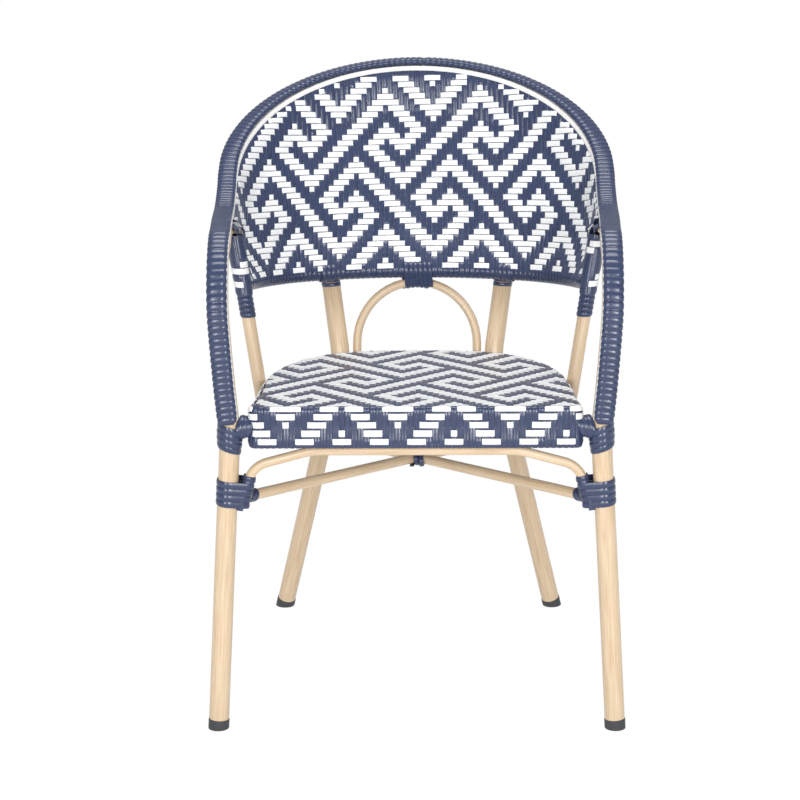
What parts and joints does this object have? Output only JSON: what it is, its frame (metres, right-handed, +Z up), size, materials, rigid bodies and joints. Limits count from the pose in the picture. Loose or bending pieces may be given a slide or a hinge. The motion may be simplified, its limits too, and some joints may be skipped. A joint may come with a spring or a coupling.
{
  "type": "rattan bistro armchair",
  "caption": "Bistro armchair with a bent aluminium tube frame in a bamboo finish, a woven strip back and seat, wound arm caps and lashed joints.",
  "frame": {"origin": "on the floor, at the middle of the chair's footprint box", "axes": "+Z up, the sitter faces -Y, +X is to the left of someone who sits in it. Nodes called left are at -X and nodes called right at +X, as seen by someone who stands in front of the chair."},
  "size_m": [0.5872, 0.611, 0.8752],
  "materials": {
    "bamboo_tube": "satin print of pale bamboo grain on aluminium tube",
    "navy_strip": "satin flat polyethylene strip",
    "white_strip": "satin flat polyethylene strip",
    "foot_plastic": "moulded dark grey plastic"
  },
  "bodies": {
    "root": {"hoop_frame": "bamboo_tube", "rear_leg_left": "bamboo_tube", "rear_leg_right": "bamboo_tube", "side_post_left": "bamboo_tube", "side_post_right": "bamboo_tube", "back_rail": "bamboo_tube", "back_arch": "bamboo_tube", "seat_upper_ring": "bamboo_tube", "seat_lower_ring": "bamboo_tube", "corner_stub_left": "bamboo_tube", "corner_stub_right": "bamboo_tube", "front_brace": "bamboo_tube", "stretcher_through": "bamboo_tube", "stretcher_half_front": "bamboo_tube", "stretcher_half_rear": "bamboo_tube", "back_weave": "navy_strip", "seat_weave": "navy_strip", "arm_cap_left": "navy_strip", "arm_cap_right": "navy_strip", "leg_lashing_left": "navy_strip", "leg_lashing_right": "navy_strip", "corner_lashing_left": "navy_strip", "corner_lashing_right": "navy_strip", "stretcher_cuff_left": "navy_strip", "stretcher_cuff_right": "navy_strip", "stretcher_lashing": "navy_strip", "arch_lashing": "navy_strip", "post_lashing_left": "navy_strip", "post_lashing_right": "navy_strip", "side_lashing_left": "navy_strip", "side_lashing_right": "navy_strip", "edge_strip_left": "white_strip", "edge_strip_right": "white_strip", "foot_cap_front_left": "foot_plastic", "foot_cap_front_right": "foot_plastic", "foot_cap_rear_left": "foot_plastic", "foot_cap_rear_right": "foot_plastic"}
  },
  "joints": []
}
